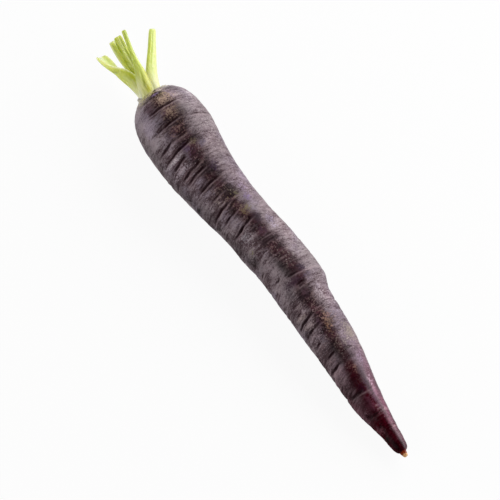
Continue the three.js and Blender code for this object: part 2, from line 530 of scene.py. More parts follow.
        (70, -12, 6, 14, 0.4), (65, 46, 10, 18, 0.35), (78, -20, 6, 10, -0.15),
        (79, 16, 7, 14, -0.35), (90, -38, 5, 10, 0.35), (94, 54, 12, 14, 0.5),
        (100, 38, 6, 9, 0.3), (100, -6, 5, 10, 0.5), (101, -54, 6, 9, -0.4),
        (111, -16, 7, 11, -0.75), (131, 48, 6, 20, 0.6), (123, -33, 5, 16, -0.4),
        (132, -32, 4, 14, 0.35), (130, -8, 5, 8, 0.4), (141, 22, 5, 7, -0.3),
        (140, -54, 5, 8, -0.35), (140, 40, 6, 10, 0.2), (139, -6, 5, 10, 0.4),
        (151, 48, 6, 14, -0.3), (160, -14, 7, 18, -0.6), (161, 54, 5, 10, 0.35),
        (160, 14, 6, 9, -0.3), (171, -38, 6, 10, 0.2), (170, 16, 6, 12, -0.4),
        (172, 50, 5, 12, 0.3), (180, 38, 5, 9, 0.9), (177, 22, 6, 9, -0.6),
        (180, -6, 5, 9, 0.3), (188, 22, 5, 8, -0.3), (190, 4, 6, 12, 1),
        (190, 50, 6, 14, 0.6), (198, 38, 6, 10, 0.7), (200, -70, 7, 10, 0.6),
        (200, -20, 7, 16, -0.5), (201, 8, 5, 10, -0.4), (209, -30, 6, 22, -0.7),
        (210, 22, 5, 12, -0.5),
    ],
    # stains, among them some painted highlight and shade: distance, angle, half length, half angle,
    # strength, colour
    "stainsAndShading": [
        # at the crown
        (0.4, 0, 1.3, 720, 0.8, (190, 182, 132)),  # all round
        (1.2, -66, 1.8, 18, 0.85, (226, 216, 190)),
        (1.6, -34, 2, 20, 0.85, (202, 192, 142)),
        (1.6, -10, 1.7, 14, 0.85, (198, 188, 118)),
        (4.8, -40, 1.5, 12, 0.6, (150, 138, 108)),
        (3.2, 14, 1.6, 9, 0.9, (214, 192, 188)),
        (2, 46, 1.8, 25, 0.8, (186, 176, 172)),
        (5, 54, 1, 13, 0.5, (162, 156, 156)),
        (4.7, 28, 0.7, 8, 0.8, (72, 54, 56)),
        (5.4, -3, 0.8, 9, 0.9, (132, 108, 158)),
        (5.9, 17, 0.8, 5, 0.7, (160, 140, 142)),
        (7.5, 7, 0.7, 5, 0.6, (136, 120, 70)),
        (7.3, 36, 0.8, 9, 0.6, (76, 62, 66)),
        # brown strip
        (10.4, 4, 4, 18, 0.65, (134, 114, 100)),
        (18.5, 2, 4.6, 13, 0.5, (130, 108, 94)),
        (27, -2, 4, 14, 0.35, (110, 84, 76)),
        (37.3, 6, 1.6, 8, 0.6, (104, 88, 66)),
        (68.5, 14, 2, 8, 0.5, (112, 102, 66)),
        (66, 8, 1, 4, 0.5, (150, 132, 118)),
        (77.3, 10, 2.2, 11, 0.6, (124, 112, 84)),
        (78.5, 0, 1.9, 7, 0.5, (80, 62, 34)),
        (143.5, 8, 3.2, 12, 0.6, (136, 106, 92)),
        (141.5, 18, 1.3, 6, 0.4, (112, 66, 62)),
        (146, 0, 2.4, 6, 0.5, (106, 74, 48)),
        (168.8, 9, 1.9, 8, 0.5, (122, 88, 80)),
        # violet and dark patches along the strip
        (38, -10, 2.6, 8, 0.75, (62, 36, 68)),
        (39, 18, 1.9, 7, 0.6, (76, 64, 82)),
        (52, 14, 3.2, 9, 0.6, (56, 32, 58)),
        (67.5, 34, 3.2, 11, 0.5, (126, 108, 130)),
        (72.5, 28, 2.8, 9, 0.6, (108, 88, 122)),
        (83, 14, 4, 9, 0.7, (46, 20, 38)),
        (91, 4, 4, 11, 0.5, (54, 28, 46)),
        (116, 15, 2.4, 9, 0.8, (36, 6, 34)),
        (120, -20, 2.2, 20, 0.8, (66, 42, 56)),
        (126.5, -4, 3.6, 13, 0.6, (66, 46, 54)),
        (120.5, 18, 2.2, 10, 0.6, (78, 62, 78)),
        (142, -14, 2.4, 7, 0.7, (70, 32, 58)),
        (178.6, -6, 3, 14, 0.7, (46, 8, 26)),
        (186.5, -10, 4.2, 15, 0.8, (74, 38, 50)),
        (178, 18, 3, 8, 0.5, (88, 52, 78)),
        (187, 20, 5, 9, 0.6, (92, 50, 72)),
        (197.5, 21, 4.6, 8, 0.6, (104, 54, 70)),
        (208, 20, 2.8, 10, 0.6, (60, 20, 32)),
        # sheltered side; the thin pale bands between the creases are painted highlight, and the
        # dark patches near the far edge are painted shade
        (8.5, -68, 7, 18, 0.6, (158, 142, 152)),
        (10.5, -28, 4.2, 11, 0.8, (76, 50, 62)),
        (19.5, -48, 4.6, 11, 0.8, (158, 142, 156)),
        (27.5, -45, 2.6, 12, 0.45, (156, 142, 148)),
        (34.6, -40, 0.8, 14, 0.5, (160, 144, 150)),
        (39.2, -42, 1.1, 20, 0.85, (182, 168, 174)),
        (45.2, -40, 1.6, 14, 0.8, (190, 172, 182)),
        (49.6, -38, 0.6, 12, 0.5, (150, 132, 138)),
        (56, -72, 2, 10, 0.6, (44, 20, 22)),
        (63.8, -76, 0.9, 10, 0.7, (30, 10, 10)),
        (68, -28, 2.4, 7, 0.45, (150, 132, 128)),
        (77, -72, 1.4, 12, 0.6, (38, 16, 16)),
        (80, -30, 1.4, 12, 0.4, (150, 134, 138)),
        (81.8, -76, 1, 9, 0.5, (50, 30, 30)),
        (89, -34, 3, 14, 0.6, (154, 142, 148)),
        (88, -68, 2.8, 9, 0.6, (70, 52, 54)),
        (96.5, -46, 1.2, 9, 0.4, (124, 116, 88)),
        (99.5, -66, 2.6, 12, 0.7, (46, 24, 24)),
        (108, -42, 4.5, 12, 0.4, (142, 124, 130)),
        (127, -72, 4, 11, 0.5, (76, 60, 62)),
        (131, -34, 1.2, 7, 0.6, (164, 146, 148)),
        (135.4, -44, 1.1, 17, 0.75, (170, 150, 148)),
        (140.7, -42, 1.4, 19, 0.75, (180, 158, 160)),
        (146.3, -40, 1.7, 19, 0.7, (174, 150, 158)),
        (152.5, -40, 1.6, 9, 0.55, (150, 122, 128)),
        (160.3, -42, 1.3, 10, 0.45, (146, 116, 122)),
        (165.8, -46, 1.1, 15, 0.4, (144, 114, 120)),
        (190.5, -48, 1.4, 12, 0.7, (30, 4, 12)),
        (174, -15, 2.8, 10, 0.45, (50, 20, 28)),
        (187, -30, 4, 17, 0.65, (64, 28, 36)),
        (196.5, -33, 3.4, 17, 0.8, (66, 4, 18)),
        (200, -20, 6, 13, 0.6, (78, 10, 24)),
        (199.8, -46, 1, 18, 0.6, (134, 84, 94)),
        (204.2, -54, 2.2, 14, 0.8, (30, 20, 18)),
        # lit side
        (12, 54, 9, 20, 0.35, (146, 138, 140)),
        (30, 52, 9, 20, 0.3, (138, 127, 129)),
        (87.5, 34, 2.6, 11, 0.5, (140, 126, 146)),
        (91.5, 31, 1.1, 8, 0.45, (150, 136, 152)),
        (108, 54, 12, 22, 0.3, (128, 120, 120)),
        (131.5, 30, 3, 12, 0.45, (144, 130, 136)),
        (153, 48, 4.2, 19, 0.75, (146, 131, 124)),
        (155.5, 30, 1.3, 11, 0.5, (154, 138, 134)),
        (166.5, 33, 2.6, 13, 0.55, (124, 102, 122)),
        (171, 24, 2, 9, 0.45, (86, 56, 80)),
        (177.5, 36, 3, 11, 0.5, (144, 116, 130)),
        (183, 28, 3, 10, 0.55, (116, 76, 98)),
        (182, 54, 3, 11, 0.4, (80, 56, 68)),
        (187.5, 46, 0.9, 20, 0.4, (124, 82, 96)),
        (190.4, 14, 0.35, 12, 0.5, (136, 96, 108)),
        (191.7, 40, 0.4, 24, 0.4, (164, 128, 138)),
        (192.3, 21, 0.35, 8, 0.6, (50, 14, 26)),
        (200.6, 44, 0.9, 28, 0.5, (140, 104, 112)),
        (205, 42, 4, 19, 0.4, (98, 78, 82)),
    ],
}


def measureRoot():
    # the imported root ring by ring: distance, sideways place, height of the middle, radius
    rings = {}
    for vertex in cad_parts["taproot"].data.vertices:
        rings.setdefault(round(vertex.co.x / mm, 2), []).append(vertex.co / mm)
    measured = []
    for x, ring in sorted(rings.items()):
        radius = (max(p.y for p in ring) - min(p.y for p in ring)) / 2
        middle = (max(p.y for p in ring) + min(p.y for p in ring)) / 2
        measured.append((x, middle, max(p.z for p in ring) - radius, radius))
    return np.array(measured)


measured = measureRoot()
crownX = measured[0, 0] - rootLook["rimInset"]
measured[:, 0] -= crownX
body = measured[(measured[:, 0] > rootLook["cadFrom"]) & (measured[:, 0] < rootLook["cadTo"])]
swayAt = curve(body[:, 0], body[:, 1])
heightAt = curve(body[:, 0], body[:, 2])


def rootProfile(look):
    # half of the outline, from the middle of the dish to the end of the tip
    fuller = curve(*look["shoulder"])
    flanks = [(place, radius + fuller(place)) for place, _, _, radius in body]
    skin = look["rim"] + flanks + look["tip"]
    places = np.array([point[0] for point in skin])
    radii = np.array([point[1] for point in skin])
    steps = np.concatenate([[0], np.cumsum(np.hypot(np.diff(places), np.diff(radii)))])
    even = np.linspace(0, steps[-1], look["rings"])
    outline = list(zip(curve(steps, places)(even), curve(steps, radii)(even)))
    dish = [(look["dishDepth"], share * look["dishRadius"]) for share in look["dishSteps"]]
    return dish + outline + [(look["length"], look["endRadius"]), (look["length"], 0)]


def spinRoot(look):
    bm = bmesh.new()
    chain = [bm.verts.new((place, 0, radius)) for place, radius in rootProfile(look)]
    edges = [bm.edges.new(pair) for pair in zip(chain, chain[1:])]
    bmesh.ops.spin(bm, geom=chain + edges, cent=(0, 0, 0), axis=(1, 0, 0), angle=2 * math.pi,
                   steps=look["sides"], use_merge=True)
    bmesh.ops.remove_doubles(bm, verts=bm.verts, dist=1e-4)
    bmesh.ops.recalc_face_normals(bm, faces=bm.faces)
    bmesh.ops.scale(bm, verts=bm.verts, vec=(mm, mm, mm))
    mesh = bpy.data.meshes.new("taproot_skin")
    bm.to_mesh(mesh)
    bm.free()
    return mesh


def angleFrom(angle, middle):
    return (angle - middle + 180) % 360 - 180


def bell(away, width):
    # 1 at 0, falling off on both sides
    return np.exp(-(away / width) ** 2)


def patch(along, angle, place, middle, halfLength, halfAngle):
    # 1 in the middle of a soft oval, falling off all round
    turn = angleFrom(angle, middle) / halfAngle
    return np.exp(-((along - place) / halfLength) ** 2 - turn ** 2)


def bumps(points, kinds):
    return sum(height * softNoise(points, size, seed) for height, size, seed in kinds)


def bend(look, angle):
    # rings lie a little farther towards the tip on the sides than in front
    return look["sweep"] * (1 - np.cos(np.radians(angle - look["sweepFace"])))


def fineCreases(look):
    fine = look["fine"]
    dice = random.Random(fine["seed"])
    made = []
    for place, middle, half, depth, slant in look["creases"]:
        for step in [dice.uniform(*span) for span in fine["beside"]]:
            turn = middle + dice.uniform(*fine["besideTurn"])
            length = half * dice.uniform(*fine["besideLength"])
            shallower = depth * dice.uniform(*fine["besideDepth"])
            made.append((place + step, turn, length, shallower, slant))
    shallow, deep = fine["depth"]
    for _ in range(fine["count"]):
        place = dice.uniform(*fine["places"])
        middle = dice.uniform(-180, 180)
        turn = angleFrom(middle, look["sweepFace"])
        facing = abs(turn) < fine["facing"]
        half = dice.uniform(*fine["halves"])
        depth = dice.uniform(shallow, fine["facingDepth"] if facing else deep)
        slant = look["sweep"] * math.sin(math.radians(turn)) * math.radians(2 * half)
        slant += dice.uniform(-fine["lean"], fine["lean"])
        if not facing or place <= fine["facingTo"]:
            made.append((place, middle, half, depth, slant))
    return made


def cutCreases(look, lift, along, angle, wobble, ragged):
    # moves the lift, and gives the dark crease lines, part dirt and part painted shade, the painted
    # highlight on their lips and the paler raised rings, and the painted shade in the hollows
    # beside the creases
    groove = look["groove"]
    creaseDirtAndShade, light, valleyShade = np.zeros((3, len(along)))
    lipHeight, lipAway, lipWidth = groove["lip"]
    lipHighlightShare, paleAway, paleWidth = groove["lipHighlight"]
    darkWidth, darkWider, darkDepth = groove["creaseDirtAndShade"]
    ridgeShare, ridgeRagged = groove["ridgeRagged"]
    for place, middle, half, depth, slant in look["creases"] + fineCreases(look):
        turn = angleFrom(angle, middle) / half
        away = along - place - slant * turn / 2 - wobble
        near = (np.abs(turn) < 1) & (np.abs(away) < groove["reach"])
        window = (1 - turn[near] ** 2) * (1 + groove["ragged"] * ragged[near])
        gap = away[near]
        cut = sum(share * bell(gap, width) for share, width in groove["cuts"])
        lip = lipHeight * bell(gap - lipAway, lipWidth)
        lift[near] += groove["deepen"] * depth * window * (lip - cut)
        strength = min(groove["strongest"], depth / groove["fullDepth"]) * window
        # the dark crease line, part dirt and part painted shade
        deep = strength * bell(gap, darkWidth + darkWider * min(depth, darkDepth))
        # painted highlight on the crease's lip
        pale = strength * bell(gap - paleAway, paleWidth) * lipHighlightShare
        if place >= groove["thinFrom"]:
            pale *= groove["thinLip"]
        creaseDirtAndShade[near] = np.maximum(creaseDirtAndShade[near], deep)
        light[near] = np.maximum(light[near], pale)
        # painted shade in the hollow beside the crease
        valleyShade[near] = np.maximum(valleyShade[near], strength * bell(gap, groove["valleyShade"]))
    for place, middle, half, height, slant in look["ridges"]:
        turn = angleFrom(angle, middle) / half
        away = along - place - slant * turn / 2 - wobble
        swell = np.maximum(0, 1 - turn ** 2) ** 0.5 * bell(away, groove["ridge"])
        swell *= np.clip(ridgeShare + ridgeRagged * ragged, 0, 1)
        lift += height * swell
        pale = groove["thinRidgePale"] if place >= groove["thinFrom"] else groove["ridgePale"]
        light = np.maximum(light, pale * swell)
    return creaseDirtAndShade, light, valleyShade


def sculptRoot(mesh, look):
    points = getPoints(mesh)
    blank = points.copy()
    normals = np.empty(len(mesh.vertices) * 3)
    mesh.vertex_normals.foreach_get("vector", normals)
    along = points[:, 0]
    angle = np.degrees(np.arctan2(points[:, 1], points[:, 2]))
    radius = np.hypot(points[:, 1], points[:, 2])
    # the creased length, the front of the crown's rim, the whole crown and the snapped end
    side = ease(along, *look["plainCrown"]) * ease(along, *look["plainTip"])
    front = ease(np.cos(np.radians(angle - look["dropAngle"])), 0, 1)
    front *= (1 - ease(along, *look["dropFade"])) * ease(radius, *look["dropFrom"])
    crown = 1 - ease(along, *look["roughCrownTo"])
    nub = ease(along, *look["nubFrom"])
    wobble = bumps(points * look["wobbleFlow"], look["wobble"])
    ragged = bumps(points * look["raggedFlow"], look["ragged"])
    rough = bumps(points, look["rough"])

    lumps = bumps(points, look["lumps"]) - look["lumpsSink"]
    for place, middle, halfLength, halfAngle, height in look["swellings"]:
        lumps += height * patch(along, angle, place, middle, halfLength, halfAngle)
    rings = np.column_stack([along - bend(look, angle), points[:, 1:] * look["wrinkleFlow"]])
    ends = look["wrinkleEnds"]
    wrinkles = ease(along, *look["wrinklesFrom"]) * bumps(rings, look["wrinkles"])
    lift = side * lumps + wrinkles * (ends + (1 - ends) * side)
    roughCrown = look["roughCrown"] * crown * ease(radius, *look["roughCrownFrom"])
    lift += rough * (roughCrown + look["roughNub"] * nub)
    creaseDirtAndShade, light, valleyShade = cutCreases(look, lift, along, angle, wobble, ragged)

    points = points + normals.reshape(-1, 3) * lift[:, None]
    notch = look["rimNotch"] * np.abs(rough) * crown * ease(radius, *look["notchFrom"])
    points[:, 0] += look["rimDrop"] * front - notch
    crownSway = look["crownSway"] * (1 - ease(along, *look["swayFade"]))
    points[:, 1] += swayAt(along) + crownSway + look["nubSway"] * nub
    points[:, 2] = np.maximum(points[:, 2] + heightAt(along), 0)
    points[:, 0] += crownX
    points = keepInBox(points)
    setPoints(mesh, points)

    store(mesh, "along", along)
    store(mesh, "creaseDirtAndShade", creaseDirtAndShade)
    store(mesh, "light", light)
    store(mesh, "valleyShade", valleyShade)
    store(mesh, "bloomAndSheen", bloomAndSheenOn(look["bloomAndSheen"], along, angle, points))
    store(mesh, "lit", ease(np.sin(np.radians(angle)), *look["litFrom"]))
    # broad lighter and darker patches, partly painted light and shade
    shade = np.ones(len(points))
    for place, middle, halfLength, halfAngle, change in look["shades"]:
        shade *= 1 + change * patch(along - wobble, angle, place, middle, halfLength, halfAngle)
    store(mesh, "shade", shade)
    storeColour(mesh, "stainAndShading", stainAndShadingOn(look["stainsAndShading"], along - wobble, angle))
    grain = mesh.attributes.new("grain", "FLOAT_VECTOR", "POINT")
    flow = np.column_stack([along - bend(look, angle) - wobble, blank[:, 1:]])
    grain.data.foreach_set("vector", (flow * mm).ravel())


def bloomAndSheenOn(look, along, angle, points):
    # 0 along the rubbed strip, which is partly painted shade, and 1 on the sides, which are partly
    # painted sheen
    edge = bumps(points * (1, 0.1, 0.1), look["longEdge"]) + bumps(points, look["edge"])
    turn = angleFrom(angle + edge - look["strip"], 0)
    tip = ease(along, *look["tip"])
    right = ease(turn, *look["right"]) * (1 - look["rightTipLoss"] * tip)
    left = look["leftShare"] * ease(-turn, *look["left"]) * (1 - look["leftTipLoss"] * tip)
    left *= 1 - look["leftEndLoss"] * ease(along, *look["end"])
    back = look["backLoss"] * ease(np.abs(turn), *look["back"])
    return np.clip(right + left - back, 0, 1)


def stainAndShadingOn(stainsAndShading, along, angle):
    # red, green and blue of the stains and painted light and shade at each vertex, and how strong
    # they are
    painted = np.zeros((len(along), 4))
    for place, middle, halfLength, halfAngle, strength, shade in stainsAndShading:
        cover = strength * patch(along, angle, place, middle, halfLength, halfAngle) ** 0.9
        share = cover / np.maximum(cover + painted[:, 3], 1e-6)
        painted[:, :3] += share[:, None] * (np.array(colour(*shade)[:3]) - painted[:, :3])
        painted[:, 3] = np.maximum(painted[:, 3], cover)
    return painted


def rootSkin(look):
    material = bpy.data.materials.new("root_skin")
    paint = Paint(material)
    tint = {name: colour(*value) for name, value in look["colours"].items()}
    place = paint.node("TexCoord", {}, {}, 3)
    grain = paint.attribute("grain", 1)
    names = ("along", "creaseDirtAndShade", "light", "valleyShade", "bloomAndSheen", "lit", "shade")
    along, creaseDirtAndShade, light, valleyShade, bloomAndSheen, lit, shade = map(paint.attribute, names)
    stainAndShading = paint.attribute("stainAndShading", 0)
    stainAndShadingShare = paint.attribute("stainAndShading", 3)

    noises = {name: paint.noise(place, *kind) for name, kind in look["grains"].items()}
    noises.update({name: paint.lines(grain, *kind) for name, kind in look["lines"].items()})
    striae, threads, patches = noises["striae"], noises["threads"], noises["patches"]
    speckle, grit, cloud = noises["speckle"], noises["grit"], noises["cloud"]
    tip = paint.ease(along + (cloud - 0.5) * 30, *look["tip"])
    nub = paint.ease(along + (speckle - 0.5) * 2, *look["nub"])

    # how light the skin is at each spot, 0 in its gaps and 1 where it is palest
    tone = 0.5
    for name, (share, litLoss) in look["tone"].items():
        tone = tone + (noises[name] - 0.5) * (share - lit * litLoss)
    # the crease lips lighter: painted highlight
    tone = 0.5 + (tone - 0.5) * (1 - tip * look["tipTone"]) + light * look["lipTone"]
    # the hollows beside the creases painted darker: painted shade, less of it on the lit side
    valleyShadeTone, litLoss = look["valleyShadeTone"]
    tone = paint.node("Clamp", {}, {"Value": tone - valleyShade * valleyShadeTone * (1 - lit * litLoss)})

    # lit and sheltered copies of the skin's colours: the sheltered side painted lighter is painted
    # light
    hue = paint.mix(lit, tint["bloomAndSheen"], tint["bloomLit"])
    hue = paint.mix(paint.ease(cloud, *look["violetFrom"]) * look["violet"], hue, tint["violet"])
    ground = paint.mix(tone, paint.mix(lit, tint["bloomGap"], tint["bloomGapLit"]), hue)
    tipHue = paint.mix(lit, tint["tipBloom"], tint["tipBloomLit"])
    ground = paint.mix(tip, ground, paint.mix(tone, tint["tipGap"], tipHue))
    # the strip's colours: rubbed skin, darker partly as painted shade
    rubbedAndShaded = paint.mix(tone, tint["rubbedAndShadedGap"], tint["rubbedAndShaded"])
    rubbedAndShaded = paint.mix(tip, rubbedAndShaded, paint.mix(tone, tint["tipRubbedAndShadedGap"], tint["tipRubbedAndShaded"]))
    # how much of the bloom and its painted sheen shows over the rubbed and shaded strip
    bloomAndSheenShare = bloomAndSheen + (patches - 0.5) * 0.7 + (striae - 0.5) * 0.5
    skin = paint.mix(paint.ease(bloomAndSheenShare, 0.05, 0.95), rubbedAndShaded, ground)
    cork = paint.ease(grit * 0.6 + patches * 0.4, *look["corkFrom"])
    skin = paint.mix(cork * (1 - bloomAndSheen * 0.8) * (1 - tip) * look["cork"], skin, tint["cork"])
    stainAndShading = paint.mix(1.0, stainAndShading, tone * 0.8 + 0.6, "MULTIPLY")
    stainAndShadingShare = paint.ease(stainAndShadingShare * 1.1 + (grit + speckle - 1) * 1.8, *look["stainAndShadingFrom"])
    skin = paint.mix(stainAndShadingShare, skin, stainAndShading)
    # painted highlight on the crease lips, and the paler raised rings
    skin = paint.mix(light * look["lip"], skin, tint["lip"])
    # broad lighter and darker patches, partly painted light and shade
    skin = paint.mix(1.0, skin, shade, "MULTIPLY")
    flesh = paint.ease(along + (striae - 0.5) * 3, *look["nubFlesh"])
    skin = paint.mix(nub, skin, paint.mix(flesh, tint["snappedEdge"], tint["snapped"]))

    height = sum(noises[name] * share for name, share in look["relief"].items())
    height = height * (1 - tip * look["tipRelief"]) * (1 - lit * look["litRelief"])
    bump = paint.bump(height, 1.0, look["bump"])
    surface = paint.node("BsdfPrincipled", {}, {
        "Base Color": skin,
        "Roughness": look["roughness"] - tip * look["tipGloss"],
        "Normal": bump,
        "Specular Tint": look["glossTint"],
    })
    # creases, gaps, the rubbed and shaded strip and the shaded side of the tip shine less
    seamDirtAndShade = look["seamDirtAndShade"] * paint.ease(creaseDirtAndShade + (threads - 0.5) * 1.4, *look["seamFrom"])
    dull = paint.node("BsdfDiffuse", {}, {"Color": paint.mix(seamDirtAndShade, skin, tint["seamDirtAndShade"])})
    matt = look["matt"]
    dry = paint.maths("MAXIMUM", (1 - bloomAndSheen) * matt["rubbedAndShaded"], (1 - tone) * matt["gaps"])
    dry = paint.maths("MAXIMUM", dry, tip * (1 - lit * lit * lit) * matt["tip"])
    both = paint.node("MixShader", {}, {0: paint.maths("MAXIMUM", seamDirtAndShade, dry), 1: surface, 2: dull})
    paint.node("OutputMaterial", {}, {"Surface": both})
    return material


mesh = spinRoot(rootLook)
sculptRoot(mesh, rootLook)
finishPiece("root_flesh", mesh, rootSkin(rootLook["skin"]), "taproot")
print("taproot done:", len(mesh.polygons), "faces")


# Leaf stalks

stalkLooks = {
    # every list follows "up", the height above the crown's rim:
    # across (+Y) and front (+Z) place the middle, curl is half the angle of the blade's arc,
    # opens is the way its hollow side looks, in degrees from +Y to +Z;
    # folds and strokes: height, place across the blade from -1 to 1, half height, half width, then
    # how deep the fold is, or how strong the stroke is and its colour
    # the strokes are mostly painted shade and painted highlight: darker olive ones where a stalk
    # lies in a hollow, a groove or another stalk's shadow, paler ones along lit edges and wings and
    # over shaded feet; each stalk's green is likewise set lighter or darker by how much light
    # reaches it
    "leaf_stalk_front": {
        "slant": -0.2,
        "green": (178, 192, 92),
        "up": [-1, 4, 8, 11, 14.5, 19, 26, 33.3],
        "across": [-1.6, -0.9, 0.2, 1.1, 2.0, 2.9, 4.5, 6.3],
        "front": [3.3, 3.6, 4.0, 4.2, 4.5, 4.9, 5.4, 5.9],
        "halfWidth": [4.1, 4.1, 3.5, 2.9, 2.0, 1.4, 1.15, 1.15],
        "halfThick": [0.9, 1.0, 1.15, 1.2, 1.2, 1.15, 1.1, 1.05],
        "opens": [-80, -80, -82, -84, -86, -88, -90, -90],
        "curl": [0.9, 0.85, 0.75, 0.6, 0.45, 0.35, 0.3, 0.3],
        "folds": [
            (0.5, -0.28, 3, 0.12, 0.3),
            (4.5, 0.1, 3, 0.14, 0.35),
            (8, 0.12, 3, 0.14, 0.3),
            (20, -0.3, 12, 0.2, 0.25),
        ],
        "strokes": [
            (3.5, -0.65, 5, 0.4, 0.85, (252, 248, 184)),
            (11, -0.2, 4, 0.5, 0.5, (214, 218, 112)),
            (1.5, 0.35, 4.5, 0.45, 0.9, (186, 184, 14)),
            (6.5, 0.5, 3.5, 0.3, 0.6, (184, 188, 40)),
            (0.5, -0.28, 3, 0.1, 0.45, (160, 166, 50)),
            (4.5, 0.1, 3, 0.14, 0.75, (130, 136, 6)),
            (8, 0.1, 3, 0.14, 0.5, (150, 160, 30)),
            (7, 0.9, 7, 0.3, 0.85, (184, 180, 70)),
            (22, -0.5, 9, 0.4, 0.35, (160, 180, 64)),
            (26, 0.6, 8, 0.4, 0.6, (156, 168, 90)),
            (33, 0.2, 5, 0.6, 0.6, (140, 156, 92)),
        ],
    },
    "leaf_stalk_left": {
        "slant": 0,
        "green": (208, 218, 124),
        "up": [-1, 5, 10, 14, 17, 20, 25, 30.3],
        "across": [-3.5, -3.6, -4.0, -5.1, -6.6, -8.2, -9.6, -10.3],
        "front": [-0.3, -0.2, -0.1, 0, 0, -0.1, -0.3, -0.6],
        "halfWidth": [3.2, 3.5, 3.8, 4.0, 4.1, 4.4, 4.6, 3.7],
        "halfThick": [0.7, 0.75, 0.85, 0.9, 1.0, 1.1, 1.0, 0.8],
        "opens": [-56, -56, -58, -55, -34, 10, 40, 54],
        "curl": [0.85, 0.85, 0.85, 0.9, 1.0, 1.1, 1.15, 1.15],
        "folds": [(26, 0.35, 5, 0.15, 0.3)],
        "strokes": [
            (12, 0.6, 4, 0.4, 0.7, (194, 204, 22)),
            (17, 0.6, 4, 0.25, 0.4, (184, 196, 60)),
            (12, -0.3, 6, 0.3, 0.4, (206, 218, 110)),
            (19, 0.95, 7, 0.12, 0.8, (238, 240, 180)),
            (27, -0.6, 5, 0.3, 0.5, (176, 196, 70)),
            (29, 0.1, 4, 0.5, 0.6, (230, 238, 214)),
            (25, -0.97, 5, 0.12, 0.6, (200, 196, 150)),
            (4, 0, 4, 1.2, 0.6, (232, 236, 164)),
            (0.5, 0, 4, 1.5, 0.9, (255, 250, 214)),
        ],
    },
    "leaf_stalk_inner_left": {
        "slant": 0,
        "green": (226, 238, 160),
        "up": [-1, 6, 12, 20, 25, 30, 35.8],
        "across": [-0.6, -0.5, -0.4, -0.5, -0.6, -0.35, 0.25],
        "front": [-5.1, -5.2, -5.2, -5.3, -5.4, -5.4, -5.5],
        "halfWidth": [1.6, 1.65, 1.7, 1.75, 1.8, 1.8, 1.75],
        "halfThick": [0.95, 1.05, 1.1, 1.2, 1.25, 1.25, 1.2],
        "opens": [80, 80, 80, 80, 80, 80, 80],
        "curl": [0.3, 0.3, 0.3, 0.3, 0.3, 0.3, 0.3],
        "folds": [],
        "strokes": [
            (26, -0.8, 14, 0.3, 0.5, (168, 182, 64)),
            (32, 0.6, 4, 0.3, 0.5, (160, 180, 60)),
        ],
    },
    "leaf_stalk_inner_right": {
        "slant": 0.1,
        "green": (156, 164, 40),
        "up": [-1, 6, 14, 20.5, 26, 31, 35.3],
        "across": [0.7, 0.8, 0.9, 1.2, 1.7, 2.5, 3.2],
        "front": [-2.8, -2.7, -2.6, -2.5, -2.4, -2.4, -2.4],
        "halfWidth": [1.6, 1.8, 2.1, 2.3, 2.5, 2.5, 2.3],
        "halfThick": [0.8, 0.95, 1.05, 1.15, 1.2, 1.2, 1.15],
        "opens": [75, 75, 75, 72, 70, 70, 70],
        "curl": [0.5, 0.5, 0.55, 0.6, 0.65, 0.7, 0.7],
        "folds": [(26, -0.35, 14, 0.3, 0.25)],
        "strokes": [
            (25, -0.5, 14, 0.3, 0.9, (128, 142, 0)),
            (14, -0.2, 6, 0.6, 0.5, (136, 146, 0)),
            (25, 0.3, 12, 0.25, 0.5, (166, 172, 74)),
            (30, 0.9, 8, 0.2, 0.5, (140, 160, 30)),
        ],
    },
    "leaf_stalk_right": {
        "slant": -0.6,
        "green": (196, 209, 126),
        "up": [-1, 5, 10, 15, 20, 25, 28],
        "across": [3.8, 5.2, 7.2, 10.4, 13.9, 17.3, 19.4],
        "front": [0, 0.1, 0.2, 0.3, 0.4, 0.5, 0.6],
        "halfWidth": [2.5, 3.2, 3.5, 3.1, 2.5, 1.95, 1.5],
        "halfThick": [0.85, 1.1, 1.4, 1.55, 1.5, 1.4, 1.3],
        "opens": [245, 245, 245, 245, 242, 240, 240],
        "curl": [0.75, 0.6, 0.45, 0.35, 0.3, 0.3, 0.3],
        "folds": [(20, -0.25, 9, 0.15, 0.2)],
        "strokes": [
            (18, -0.6, 8, 0.35, 0.7, (204, 214, 72)),
            (6, -0.8, 6, 0.35, 0.8, (246, 248, 190)),
            (16, 0.4, 12, 0.5, 0.6, (216, 226, 160)),
            (2, 0, 4, 1.5, 0.5, (220, 218, 180)),
        ],
    },
    "dried_leaf_scale": {
        "slant": 0.4,
        "green": (214, 208, 196),
        "up": [-1.4, -0.4, 0.9],
        "across": [-5.7, -6.1, -6.8],
        "front": [1.2, 1.3, 1.4],
        "halfWidth": [1.1, 1.35, 0.7],
        "halfThick": [0.25, 0.22, 0.15],
        "opens": [100, 100, 105],
        "curl": [0.5, 0.5, 0.5],
        "folds": [],
        "strokes": [
            (1.6, 0, 0.6, 1.5, 0.6, (120, 104, 92)),
            (0.2, -0.3, 0.5, 0.4, 0.6, (140, 128, 120)),
        ],
    },
}

stalkShape = {
    "cuts": (19, 7, 110),  # across, through and up each blade
    "foot": -3.2,  # how far below the rim the blades start
    "cutEdge": 1.2,  # the cut edge is a little rounded over this length
    "cutThinner": 0.25,
    "cutNarrower": 0.12,
    "slantPower": 6,  # how suddenly the slant of the cut begins
    "paleFoot": (220, 220, 176),
    "paleTo": (1, 13),
    "uneven": [(0.04, 1.2, 12)],  # height, size and seed
    "unevenFlow": (0.15, 1, 1),
}


